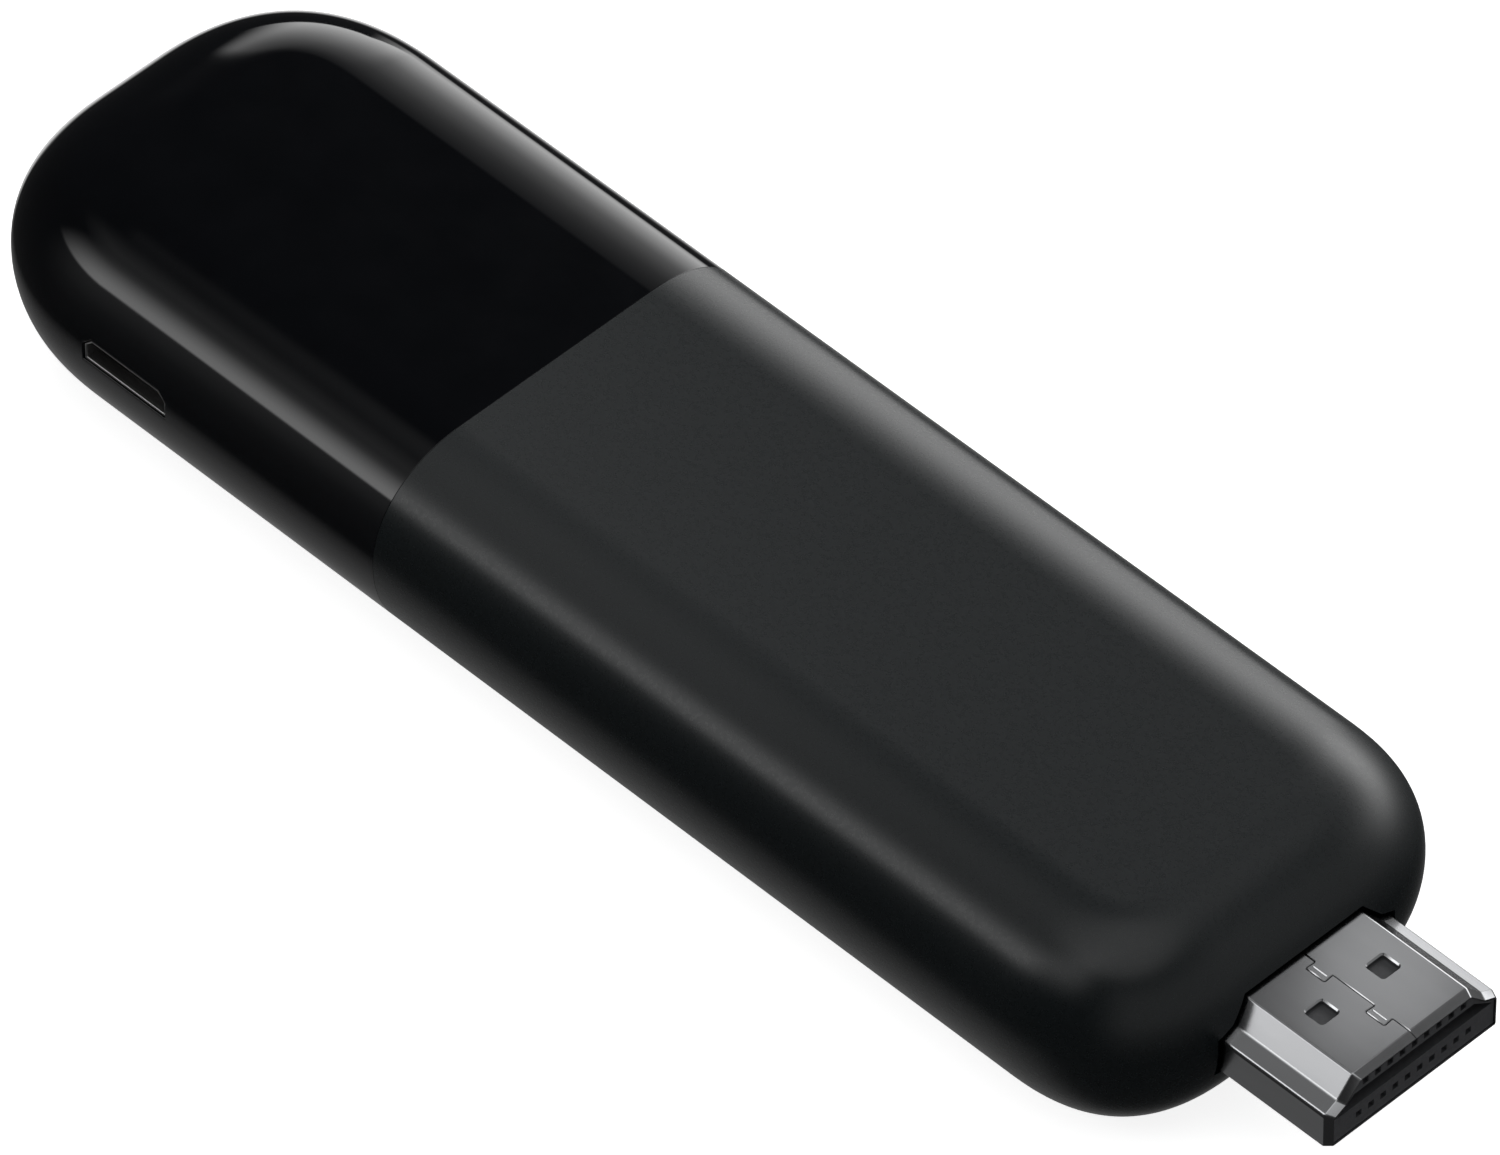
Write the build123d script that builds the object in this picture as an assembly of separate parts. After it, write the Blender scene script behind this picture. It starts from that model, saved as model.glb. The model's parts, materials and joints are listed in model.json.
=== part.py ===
from build123d import *
import os

# Streaming stick: a two-piece plastic case round a circuit board, with a video plug at one end
# and a power port in one long side. Lengths in millimetres. +X points out of the plug, +Y across
# the stick, +Z up. The origin is under the middle of the whole stick, on the surface it lies on.

# case, outside
case_length = 99.4  # without the plug
case_width = 30.2
height_above = 6.7  # from the case's widest level up to the top face
height_below = 7.5  # from the widest level down to the underside
top_round = 6.15  # how far the upper rounding reaches in from the side
under_round = 5.25
top_fullness = 0.52  # curve handle, as a share of the rounding
under_fullness = 0.52
rear_corner = 11.4  # plan radius of the two rear corners
front_corner = 9.2
cap_length = 37.8  # glossy cap, from the rear end to the seam
wall = 1.2

# joint between cap and sleeve
spigot_thick = 0.8
spigot_length = 3.0
spigot_root = 2.5  # how far the spigot's wall runs back inside the cap
slip_gap = 0.1  # clearance between pieces that slide together
snap_height = 0.3
snap_length = 0.9
snap_width = 5.0
snap_spacing = 10.0
snap_setback = 1.1  # from the seam to the snap

# video plug, outside of its steel shell
plug_reach = 8.3  # from the case's front end to the plug's tip
plug_drop = 1.98  # from the case's widest level down to the plug's underside
plug_width = 13.9
plug_height = 4.45
plug_side = 2.6  # height of its upright sides
plug_ledge_width = 11.8
plug_ledge_height = 3.13
plug_top_width = 9.38
shell_sheet = 0.33
nose_length = 0.55
nose_inset = 0.25
plug_inside = 6.6  # how far the shell runs back behind the case's front end
opening_gap = 0.3  # round the plug, in the case's front wall
catch_hole = 1.45  # square holes that a socket's springs catch in
catch_spacing = 5.02
catch_setback = 5.05  # from the tip to the middle of the holes
seam_gap = 0.08  # folded joint along the shell's top
tab_reach = 0.85
tab_length = 1.4
tab_flare = 0.12
tab_setbacks = (3.45, 8.1)  # from the tip to the front of each tab

# plug insulator and contacts
insulator_setback = 0.1  # behind the shell's tip
insulator_gap = 0.04
tongue_low = 2.2  # slot for the socket's tongue, above the plug's underside
tongue_high = 3.25
tongue_low_width = 12.8
tongue_high_width = 9.8
tongue_depth = 7.5
pin_pitch = 1.0
lower_pins = 10
upper_pins = 9
lower_pin_level = 1.3
upper_pin_level = 3.72
pin_window = 0.46
pin_width = 0.3
pin_thick = 0.16
pin_setback = 0.9  # from the plug's tip to the end of a contact
pin_bow = 0.6  # how far a contact bows into the slot
tail_length = 1.8  # on the board
leg_length = 2.9  # the shell's side legs, held in notches of the board
leg_low = 0.8
leg_high = 3.6
rear_shield_sheet = 0.25
rear_shield_height = 1.5
rear_shield_length = 3.2

# power port
port_from_rear = 16.6
port_width = 6.9
port_height = 1.8
port_chamfer = 0.58
port_rise = 0.43  # from the case's widest level up to the middle of the port
port_sheet = 0.28
port_depth = 5.0
port_relief = 0.05  # opening in the cap, larger all round than the port
port_seat = 0.5  # from the wall's inner side, at its widest, to the port's mouth
port_tab = 0.95
port_tab_width = 1.4
port_tongue_width = 3.7
port_tongue_thick = 0.6
port_tongue_length = 3.2
port_block = 1.4
port_pins = 5
port_pin_pitch = 0.65
port_pin_width = 0.3
port_pin_thick = 0.1

# circuit board and the frame that carries it
board_thick = 1.0
board_rise = 0.3  # from the case's widest level up to the middle of the board
board_setback = 7.4  # from the case's front end back to the board's front edge
carrier_wall = 1.3
carrier_ledge = 1.3
carrier_below = 1.8
carrier_above = 1.4
carrier_bore = 8.6  # half width of the front gap, where the plug lies
carrier_front = 2.6  # from the case's front end back to the frame's arms
rail_length = 34.0  # guide rails on the sleeve's inner sides
rail_height = 1.6
post_radius = 1.7
post_height = 2.6
screw_edge = 1.9  # from the board's side edge in to a screw
screw_from_front = 5.2  # from the board's front edge
screw_from_rear = 24.3  # from the case's rear end
screw_radius = 0.7
screw_length = 3.0
screw_head_radius = 1.25
screw_head_height = 0.7
screw_gap = 0.1

# chips, with their height. Those in front are placed by their distance behind the board's front
# edge, and those at the back by their distance ahead of the case's rear end.
chip_seat = 0.02
processor_size = (14.0, 14.0, 1.1)
processor_back = 35.0
memory_size = (11.0, 8.0, 1.0)
memory_back = 18.5
flash_size = (11.5, 13.0, 1.0)
flash_back = 21.0
manager_size = (7.0, 7.0, 0.9)
manager_back = 37.5
wireless_size = (12.0, 12.5, 1.7)
wireless_from_rear = 31.0
inductor_size = (4.0, 4.0, 1.8)
inductors_from_rear = (13.2, 18.0, 22.8)
inductor_across = 3.5
inductor_corner = 0.5
crystal_size = (3.2, 2.5, 0.8)
filter_size = (1.2, 1.0, 0.6)
filter_pitch = 2.2
filter_count = 4
filter_back = 6.0
capacitor_size = (1.0, 0.5, 0.5)
resistor_size = (1.0, 0.5, 0.35)
capacitor_across = 0.6  # from the edge of the chip they stand beside
resistor_across = 1.4
resistor_shift = 0.6

# shields and heat path
shield_setback = 9.5  # from the board's front edge to the front of the shields
shield_behind = 2.0  # how far the shields reach behind the processor
shield_side = 1.0  # from the carrier's ledge in to the side of a shield
shield_height = 2.0
shield_sheet = 0.2
shield_lip = 1.2  # how far a lid's rim reaches down outside its frame
shield_gap = 0.05
pad_margin = 1.0
pad_end = 4.5  # from a shield's end to the wide pad on its lid
pad_side = 1.7
upper_spreader_thick = 0.8
lower_spreader_thick = 0.8
pad_thick = 1.1
spreader_behind = 1.7  # from the end of the cap's spigot to a spreader
spreader_ahead = 2.0  # how far a spreader reaches ahead of the shields
spreader_corner = 2.0
spreader_gap = 0.15

# antennas
antenna_sheet = 0.25
antenna_height = 2.8
antenna_length = 5.2
antenna_top = 2.6
antenna_across = 4.4
antenna_from_rear = 5.6
antenna_feed = 1.0

# levels and places that follow from the sizes
case_height = height_above + height_below
x_rear = -(case_length + plug_reach) / 2
x_front = x_rear + case_length
x_seam = x_rear + cap_length
x_tip = x_front + plug_reach
plug_base = height_below - plug_drop
board_low = height_below + board_rise - board_thick / 2
board_top = board_low + board_thick
x_board = x_front - board_setback
x_port = x_rear + port_from_rear
x_processor = x_board - processor_back
x_wireless = x_rear + wireless_from_rear
x_screws = (x_board - screw_from_front, x_rear + screw_from_rear)
port_level = height_below + port_rise
spigot_inset = wall + slip_gap
bore_inset = spigot_inset + spigot_thick
carrier_inset = bore_inset + slip_gap
board_inset = carrier_inset + carrier_wall + slip_gap
y_port = -case_width / 2 + wall + port_seat
x_shell_back = x_front - plug_inside
board_half = case_width / 2 - board_inset
shield_half = board_half - carrier_ledge - shield_side
x_shield_rear = x_processor - processor_size[0] / 2 - shield_behind
x_shield_front = x_board - shield_setback
spreader_half = case_width / 2 - top_round - spreader_gap


# how far a cutting block reaches past what it cuts
ample = 10.0


def block(x0, x1, y0, y1, z0, z1):
    return Pos((x0 + x1) / 2, (y0 + y1) / 2, (z0 + z1) / 2) * Box(x1 - x0, y1 - y0, z1 - z0)


def rod(x, y, z0, z1, radius):
    return Pos(x, y, (z0 + z1) / 2) * Cylinder(radius, z1 - z0)


def on_board(x, y, size, above=True):
    # a box that sits on one side of the board, centred on x and y
    length, width, height = size
    z0 = board_top + chip_seat if above else board_low - chip_seat - height
    return block(x - length / 2, x + length / 2, y - width / 2, y + width / 2, z0, z0 + height)


def group(shapes):
    return Compound(children=list(shapes))


def rim_profile(reach, inset):
    # half of the case's section, from an upright axis out to the widest level
    low = inset
    top = case_height - inset
    under_in = under_round - inset
    top_in = top_round - inset
    under_rise = height_below - low
    top_rise = top - height_below
    side = height_below
    edges = [
        Line((0, 0, top), (0, 0, low)),
        Line((0, 0, low), (reach - under_in, 0, low)),
        Bezier(
            (reach - under_in, 0, low),
            (reach - under_in * (1 - under_fullness), 0, low),
            (reach, 0, side - under_rise * under_fullness),
            (reach, 0, side),
        ),
        Bezier(
            (reach, 0, side),
            (reach, 0, side + top_rise * top_fullness),
            (reach - top_in * (1 - top_fullness), 0, top),
            (reach - top_in, 0, top),
        ),
        Line((reach - top_in, 0, top), (0, 0, top)),
    ]
    return Face(Wire(edges))


def pebble(inset):
    # the case's outer form, or the same form moved inwards by inset on every side
    parts = []
    for x_end, corner, way, turns in (
        (x_front, front_corner, 1, (0, 270)),
        (x_rear, rear_corner, -1, (90, 180)),
    ):
        x_axis = x_end - way * corner
        y_axis = case_width / 2 - corner
        profile = rim_profile(corner - inset, inset)
        for side, turn in zip((1, -1), turns):
            quarter = revolve(profile, Axis.Z, 90)
            parts.append(Pos(x_axis, side * y_axis, 0) * (Rot(0, 0, turn) * quarter))
        face = Pos(x_axis, -y_axis, 0) * (Rot(0, 0, 90 - way * 90) * profile)
        parts.append(extrude(face, amount=2 * y_axis, dir=(0, 1, 0)))
    x0 = x_rear + rear_corner
    straight = case_length - rear_corner - front_corner
    for turn in (90, 270):
        face = Pos(x0, 0, 0) * (Rot(0, 0, turn) * rim_profile(case_width / 2 - inset, inset))
        parts.append(extrude(face, amount=straight, dir=(1, 0, 0)))
    return parts[0] + parts[1:]


def ahead_of(x):
    return block(x, x_tip + ample, -case_width, case_width, -ample, case_height + ample)


def behind(x):
    return block(x_rear - ample, x, -case_width, case_width, -ample, case_height + ample)


def inset_outline(points, inset):
    # moves each side of a closed outline inwards and joins the sides again
    moved = []
    count = len(points)
    for i in range(count):
        a = Vector(*points[i - 1])
        b = Vector(*points[i])
        c = Vector(*points[(i + 1) % count])
        first = (b - a).normalized()
        second = (c - b).normalized()
        normal = Vector(-first.Y, first.X)
        next_normal = Vector(-second.Y, second.X)
        share = inset / (1 + normal.dot(next_normal))
        corner = b + (normal + next_normal) * share
        moved.append((corner.X, corner.Y))
    return moved


def plug_outline():
    half = plug_width / 2
    ledge = plug_ledge_width / 2
    crown = plug_top_width / 2
    right = [(half, 0), (half, plug_side), (ledge, plug_ledge_height), (crown, plug_height)]
    left = [(-y, z) for y, z in reversed(right)]
    return [(y, plug_base + z) for y, z in right + left]


def upright_face(x, points):
    # a closed outline of (y, z) points as a face across the stick
    return Face(Wire.make_polygon([(x, y, z) for y, z in points], close=True))


def plug_solid(inset, x0, x1):
    outline = inset_outline(plug_outline(), inset)
    return extrude(upright_face(x0, outline), amount=x1 - x0, dir=(1, 0, 0))


def port_outline():
    half = port_width / 2
    rise = port_height / 2
    return [
        (-half, -rise),
        (half, -rise),
        (half, rise - port_chamfer),
        (half - port_chamfer, rise),
        (-half + port_chamfer, rise),
        (-half, rise - port_chamfer),
    ]


def port_solid(inset, y0, y1):
    outline = inset_outline(port_outline(), inset)
    points = [(x_port + x, y0, port_level + z) for x, z in outline]
    face = Face(Wire.make_polygon(points, close=True))
    return extrude(face, amount=y1 - y0, dir=(0, 1, 0))


def strip(points, thick, y, width):
    # a bent metal strip that follows (x, z) points, with an even upright thickness
    upper = [(x, y - width / 2, z + thick / 2) for x, z in points]
    lower = [(x, y - width / 2, z - thick / 2) for x, z in reversed(points)]
    face = Face(Wire.make_polygon(upper + lower, close=True))
    return extrude(face, amount=width, dir=(0, 1, 0))


def snap_blocks(height, margin):
    # four snaps, two on the upper and two on the lower flat of the spigot
    blocks = []
    x0 = x_seam + snap_setback - margin
    x1 = x_seam + snap_setback + snap_length + margin
    sink = spigot_thick / 2
    for y in (-snap_spacing / 2, snap_spacing / 2):
        y0 = y - snap_width / 2 - margin
        y1 = y + snap_width / 2 + margin
        blocks.append(block(x0, x1, y0, y1, spigot_inset - height, spigot_inset + sink))
        top = case_height - spigot_inset
        blocks.append(block(x0, x1, y0, y1, top - sink, top + height))
    return blocks


def rear_cap():
    inner = pebble(wall)
    spigot = pebble(spigot_inset) & ahead_of(x_seam) & behind(x_seam + spigot_length)
    bore = pebble(bore_inset) & ahead_of(x_seam - spigot_root)
    shell = (pebble(0) & behind(x_seam)) + [spigot] + snap_blocks(snap_height, 0)
    shell = shell - (inner & behind(x_seam - spigot_root)) - bore
    relief = -port_sheet - 3 * slip_gap
    notch_low = port_level - port_height / 2 + relief
    notch_high = port_level + port_height / 2 - relief
    near = -case_width / 2 + wall
    notch = block(x_seam - spigot_root, x_seam + spigot_length, near, -case_width / 4,
                  notch_low, notch_high)
    opening = port_solid(-port_relief, -case_width, y_port)
    return shell - (notch & inner) - opening


def front_sleeve():
    inner = pebble(wall)
    shell = (pebble(0) & ahead_of(x_seam)) - inner
    x1 = x_front - front_corner
    rail_band = block(
        x1 - rail_length, x1, -case_width, case_width,
        height_below - rail_height / 2, height_below + rail_height / 2,
    )
    rails = (pebble(wall / 2) - pebble(carrier_inset - slip_gap)) & rail_band
    opening = plug_solid(-opening_gap, x_front - front_corner, x_tip)
    return shell + rails - snap_blocks(snap_height + slip_gap + slip_gap, slip_gap) - opening


def board_outline(inset, x1):
    # plan of the board, whose rear corners follow the case's
    half = board_half - inset
    x0 = x_rear + board_inset + inset
    radius = rear_corner - board_inset - inset
    centre = (x0 + x1) / 2
    plan = Pos(centre, 0) * Rectangle(x1 - x0, 2 * half)
    rear = [v for v in plan.vertices() if v.X < centre]
    return fillet(rear, radius)


def board_solid(inset, x1, z0, z1):
    return extrude(Pos(0, 0, z0) * board_outline(inset, x1), amount=z1 - z0, dir=(0, 0, 1))


def screw_places():
    across = board_half - screw_edge
    return [(x, y) for x in x_screws for y in (-across, across)]


def board_carrier():
    low = board_low - carrier_below
    high = board_top + carrier_above
    x_arms = x_front - carrier_front
    slab = block(x_rear, x_arms, -case_width, case_width, low, high)
    frame = pebble(carrier_inset) & slab
    frame = frame - board_solid(-slip_gap, x_tip, board_low, high)
    frame = frame - board_solid(carrier_ledge, x_tip, low, board_low)
    arms = block(x_board + 2 * slip_gap, x_arms, -case_width, case_width, low, high)
    gap = block(x_board, x_tip, -carrier_bore, carrier_bore, low, high)
    frame = frame + (pebble(carrier_inset) & arms) - gap
    posts = [rod(x, y, board_low - post_height, board_low, post_radius) for x, y in screw_places()]
    frame = frame + [post & pebble(carrier_inset) for post in posts]
    bores = [rod(x, y, board_top - screw_length, board_low, screw_radius) for x, y in screw_places()]
    side = port_width / 2 + port_sheet + port_tab + 2 * slip_gap
    floor = port_level - port_height / 2 - port_sheet - slip_gap
    gate = block(x_port - side, x_port + side, -case_width, y_port + port_depth, floor, high)
    return frame - bores - gate


def carrier_screws():
    screws = []
    for x, y in screw_places():
        head = rod(x, y, board_top, board_top + screw_head_height, screw_head_radius)
        shank = rod(x, y, board_top - screw_length, board_top, screw_radius)
        slot = block(x - screw_head_radius / 2, x + screw_head_radius / 2, y - slip_gap, y + slip_gap,
                     board_top + screw_head_height / 2, board_top + screw_head_height)
        cross = Pos(x, y) * (Rot(0, 0, 90) * (Pos(-x, -y) * slot))
        screws.append(head + shank - slot - cross)
    return group(screws)


def main_board():
    board = board_solid(0, x_board, board_low, board_top)
    holes = [rod(x, y, board_low, board_top, screw_radius + screw_gap) for x, y in screw_places()]
    side = port_width / 2 + port_sheet + slip_gap
    y_inner = y_port + port_depth + slip_gap
    pocket = block(x_port - side, x_port + side, -case_width, y_inner, board_low, board_top)
    notches = []
    for way in (-1, 1):
        y = way * (plug_width - shell_sheet) / 2
        reach = shell_sheet / 2 + slip_gap
        x0 = x_shell_back - leg_length - slip_gap
        notches.append(block(x0, x_board, y - reach, y + reach, board_low, board_top))
    return board - holes - pocket - notches


def chips():
    made = {}
    made["processor"] = on_board(x_processor, 0, processor_size)
    made["memory_chip"] = on_board(x_board - memory_back, 0, memory_size)
    made["flash_chip"] = on_board(x_board - flash_back, 0, flash_size, above=False)
    made["power_manager"] = on_board(x_board - manager_back, 0, manager_size, above=False)
    module = on_board(x_wireless, 0, wireless_size)
    made["wireless_module"] = chamfer(module.edges().group_by(Axis.Z)[-1], shield_sheet)
    inductors = []
    for ahead in inductors_from_rear:
        body = on_board(x_rear + ahead, inductor_across, inductor_size)
        inductors.append(chamfer(body.edges().filter_by(Axis.Z), inductor_corner))
    made["power_inductors"] = group(inductors)
    # one crystal behind the wireless module, one between the processor and the memory chip
    behind_module = x_wireless - wireless_size[0] / 2 - crystal_size[0]
    beside = (crystal_size[1] - wireless_size[1]) / 2
    between = (x_processor + processor_size[0] / 2 + x_board - memory_back - memory_size[0] / 2) / 2
    made["crystals"] = group([
        on_board(behind_module, beside, crystal_size),
        on_board(between, 0, crystal_size),
    ])
    x_filter = x_board - filter_back
    first = -filter_pitch * (filter_count - 1) / 2
    made["signal_filters"] = group(
        on_board(x_filter, first + filter_pitch * i, filter_size) for i in range(filter_count)
    )
    return made


def passives(size, across, shift):
    # rows of small parts beside the memory chip, beside the wireless module and under the board
    x_memory = x_board - memory_back - memory_size[0] / 2 + size[0]
    x_manager = x_board - manager_back - manager_size[0] / 2 + size[0]
    rows = [
        (x_memory, memory_size[1] / 2 + across, 6, True),
        (x_wireless, -wireless_size[1] / 2 - across, 4, True),
        (x_manager, manager_size[1] / 2 + across, 4, False),
    ]
    placed = []
    for x, y, count, above in rows:
        for i in range(count):
            placed.append(on_board(x + shift + i * 2 * size[0], y, size, above))
    return group(placed)


def shield_box(grow, z0, z1):
    half = shield_half + grow
    return block(x_shield_rear - grow, x_shield_front + grow, -half, half, z0, z1)


def shield_frame(z_board, way):
    # soldered fence with a crossbar; way is 1 above the board and -1 below it
    z0, z1 = sorted((z_board, z_board + way * shield_height))
    fence = shield_box(0, z0, z1) - shield_box(-shield_sheet, z0, z1)
    near = z_board + way * (shield_height - shield_sheet)
    r0, r1 = sorted((near, z_board + way * shield_height))
    rim = shield_box(0, r0, r1) - shield_box(-2 * shield_sheet, r0, r1)
    return fence + rim


def shield_lid(z_board, way):
    inner = z_board + way * (shield_height + shield_gap)
    outer = inner + way * shield_sheet
    z0, z1 = sorted((inner - way * shield_lip, outer))
    lid = shield_box(shield_gap + shield_sheet, z0, z1)
    c0, c1 = sorted((inner - way * shield_lip, inner))
    return lid - shield_box(shield_gap, c0, c1)


def pad(x, size, z0, z1):
    length, width = size
    return block(x - length / 2, x + length / 2, -width / 2, width / 2, *sorted((z0, z1)))


def heat_path():
    made = {}
    x_wide = (x_shield_rear + x_shield_front) / 2
    wide_plan = (x_shield_front - x_shield_rear - 2 * pad_end, 2 * (shield_half - pad_side))
    lid_in = board_top + shield_height + shield_gap
    lid_out = lid_in + shield_sheet
    chip_top = board_top + chip_seat + processor_size[2]
    pad_plan = (processor_size[0] - 2 * pad_margin, processor_size[1] - 2 * pad_margin)
    made["processor_pad"] = pad(x_processor, pad_plan, chip_top, lid_in)
    spreader_top = case_height - wall - spreader_gap
    spreader_low = spreader_top - upper_spreader_thick
    made["upper_thermal_pad"] = pad(x_wide, wide_plan, lid_out, spreader_low)
    made["upper_heat_spreader"] = spreader(spreader_low, spreader_top)
    under_in = board_low - shield_height - shield_gap
    under_out = under_in - shield_sheet
    flash_low = board_low - chip_seat - flash_size[2]
    flash_plan = (flash_size[0] - 2 * pad_margin, flash_size[1] - 2 * pad_margin)
    made["flash_pad"] = pad(x_board - flash_back, flash_plan, flash_low, under_in)
    floor = wall + spreader_gap
    plate = spreader(floor, floor + lower_spreader_thick)
    raised = pad(x_wide, wide_plan, floor, under_out - pad_thick)
    made["lower_heat_spreader"] = plate + raised
    made["lower_thermal_pad"] = pad(x_wide, wide_plan, under_out - pad_thick, under_out)
    return made


def spreader(z0, z1):
    x0 = x_seam + spigot_length + spreader_behind
    x1 = x_shield_front + spreader_ahead
    plan = RectangleRounded(x1 - x0, 2 * spreader_half, spreader_corner)
    return extrude(Pos((x0 + x1) / 2, 0, z0) * plan, amount=z1 - z0, dir=(0, 0, 1))


def antenna(side):
    # folded sheet: an upright strip, a flat top and a feed leg that stand on the board
    x0 = x_rear + antenna_from_rear
    near = antenna_across - antenna_length / 2
    y0, y1 = sorted((side * near, side * (near + antenna_length)))
    z1 = board_top + antenna_height
    upright = block(x0, x0 + antenna_sheet, y0, y1, board_top, z1)
    top = block(x0, x0 + antenna_top, y0, y1, z1 - antenna_sheet, z1)
    f0, f1 = sorted((side * near, side * (near + antenna_feed)))
    feed = block(x0 + antenna_top - antenna_sheet, x0 + antenna_top, f0, f1, board_top, z1)
    return upright + top + feed


def joint_slit():
    # the folded joint on the shell's top: a straight slit with two flared tabs of the far half
    z0 = plug_base + plug_height - 2 * shell_sheet
    z1 = plug_base + plug_height + shell_sheet
    half = seam_gap / 2
    route = [(x_tip + 1, 0)]
    for setback in tab_setbacks:
        x1 = x_tip - setback
        x0 = x1 - tab_length
        route += [(x1, 0), (x1 + tab_flare, -tab_reach), (x0 - tab_flare, -tab_reach), (x0, 0)]
    route.append((x_shell_back - leg_length - 1, 0))
    pieces = []
    for (ax, ay), (bx, by) in zip(route, route[1:]):
        start = Vector(ax, ay)
        end = Vector(bx, by)
        along = (end - start).normalized() * half
        across = Vector(-along.Y, along.X)
        behind_start = start - along
        past_end = end + along
        corners = [behind_start + across, behind_start - across, past_end - across, past_end + across]
        outline = Wire.make_polygon([(c.X, c.Y, z0) for c in corners], close=True)
        pieces.append(extrude(Face(outline), amount=z1 - z0, dir=(0, 0, 1)))
    return pieces


def plug_shell():
    x_nose = x_tip - nose_length
    body = plug_solid(0, x_shell_back, x_nose)
    full = upright_face(x_nose, plug_outline())
    small = upright_face(x_tip, inset_outline(plug_outline(), nose_inset))
    nose = loft([full, small], ruled=True)
    tube = body + nose - plug_solid(shell_sheet, x_shell_back, x_tip)
    legs = []
    for way in (-1, 1):
        y0, y1 = sorted((way * plug_width / 2, way * (plug_width / 2 - shell_sheet)))
        legs.append(block(x_shell_back - leg_length, x_shell_back + shell_sheet, y0, y1,
                          plug_base + leg_low, plug_base + leg_high))
    legs = [leg & plug_solid(0, x_shell_back - leg_length, x_nose) for leg in legs]
    x_hole = x_tip - catch_setback
    holes = []
    for y in (-catch_spacing / 2, catch_spacing / 2):
        holes.append(block(x_hole - catch_hole / 2, x_hole + catch_hole / 2, y - catch_hole / 2,
                           y + catch_hole / 2, plug_base - 1, plug_base + plug_height + 1))
    return tube + legs - holes - joint_slit()


def pin_rows():
    rows = []
    for count, level in ((lower_pins, lower_pin_level), (upper_pins, upper_pin_level)):
        first = -pin_pitch * (count - 1) / 2
        rows.append((level, [first + pin_pitch * i for i in range(count)]))
    return rows


def plug_insulator():
    x1 = x_tip - insulator_setback
    body = plug_solid(shell_sheet + insulator_gap, x_shell_back, x1)
    low_half = tongue_low_width / 2
    high_half = tongue_high_width / 2
    sides = [(low_half, tongue_low), (high_half, tongue_high)]
    outline = sides + [(-y, z) for y, z in reversed(sides)]
    face = upright_face(x1 - tongue_depth, [(y, plug_base + z) for y, z in outline])
    slot = extrude(face, amount=tongue_depth + 1, dir=(1, 0, 0))
    cuts = [slot]
    half = pin_window / 2
    x_bar = x_tip - pin_setback
    for (level, places), edge in zip(pin_rows(), (tongue_low, tongue_high)):
        z0, z1 = sorted((plug_base + level, plug_base + edge))
        for y in places:
            cuts.append(block(x_shell_back, x_tip, y - half, y + half,
                              plug_base + level - half, plug_base + level + half))
            cuts.append(block(x1 - tongue_depth, x_bar, y - half, y + half, z0, z1))
    return body - cuts


def plug_contacts(level, places, z_tail, way):
    # way is 1 where the contacts bow upwards into the slot and -1 where they bow down
    z = plug_base + level
    x_end = x_tip - pin_setback
    z_foot = z_tail - way * pin_thick / 2
    points = [
        (x_board - tail_length, z_foot),
        (x_board + slip_gap, z_foot),
        (x_shell_back - slip_gap, z),
        (x_end - tongue_depth * 0.55, z),
        (x_end - tongue_depth * 0.35, z + way * pin_bow),
        (x_end - tongue_depth * 0.12, z),
        (x_end, z),
    ]
    return group(strip(points, pin_thick, y, pin_width) for y in places)


def plug_rear_shield():
    # bent sheet over the soldered tails, standing on the board behind the plug
    half = plug_width / 2 - shell_sheet - 2 * slip_gap
    x1 = x_shell_back - 2 * slip_gap
    x0 = x1 - rear_shield_length
    z1 = board_top + rear_shield_height
    cover = block(x0, x1, -half, half, board_top, z1)
    x_in = x0 + rear_shield_sheet
    inner = half - rear_shield_sheet
    room = block(x_in, x1, -inner, inner, board_top, z1 - rear_shield_sheet)
    return cover - room


def port_pieces():
    made = {}
    y1 = y_port + port_depth
    tube = port_solid(-port_sheet, y_port, y1) - port_solid(0, y_port, y1 - port_sheet)
    side = port_width / 2
    tabs = []
    for way in (-1, 1):
        x0, x1 = sorted((x_port + way * side, x_port + way * (side + port_sheet + port_tab)))
        tab_y = y1 - port_tab_width - port_sheet
        tabs.append(block(x0, x1, tab_y, tab_y + port_tab_width, board_top, board_top + port_sheet))
    tube = tube + tabs - port_solid(0, y_port, y1 - port_sheet)
    z1 = port_level + port_height / 2 - port_tongue_thick / 2
    z0 = z1 - port_tongue_thick
    slit_half = port_pin_pitch * port_pins / 2
    slit = block(x_port - slit_half, x_port + slit_half, y1 - port_sheet, y1,
                 z0 - 3 * port_pin_thick, z0 + slip_gap)
    made["port_shell"] = tube - slit
    y_block = y1 - port_sheet - port_block
    filling = port_solid(insulator_gap, y_block, y1 - port_sheet)
    tongue = block(x_port - port_tongue_width / 2, x_port + port_tongue_width / 2,
                   y_block - port_tongue_length, y_block + port_block / 2, z0, z1)
    grooves = []
    pins = []
    z_foot = board_top
    for i in range(port_pins):
        x = x_port + port_pin_pitch * (i - (port_pins - 1) / 2)
        run = block(x - port_pin_width / 2, x + port_pin_width / 2, y_block - port_tongue_length + slip_gap,
                    y1 + port_pin_thick, z0 - port_pin_thick, z0)
        foot_low, foot_high = sorted((z0, z_foot))
        drop = block(x - port_pin_width / 2, x + port_pin_width / 2, y1, y1 + port_pin_thick,
                     foot_low - port_pin_thick, foot_high)
        foot = block(x - port_pin_width / 2, x + port_pin_width / 2, y1, y1 + 8 * port_pin_thick,
                     z_foot, z_foot + port_pin_thick)
        pins.append(run + drop + foot)
        grooves.append(block(x - port_pin_width, x + port_pin_width, y_block - slip_gap, y1,
                             z0 - 2 * port_pin_thick, z0))
    made["port_tongue"] = filling + tongue - grooves
    made["port_contacts"] = group(pins)
    return made


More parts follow.
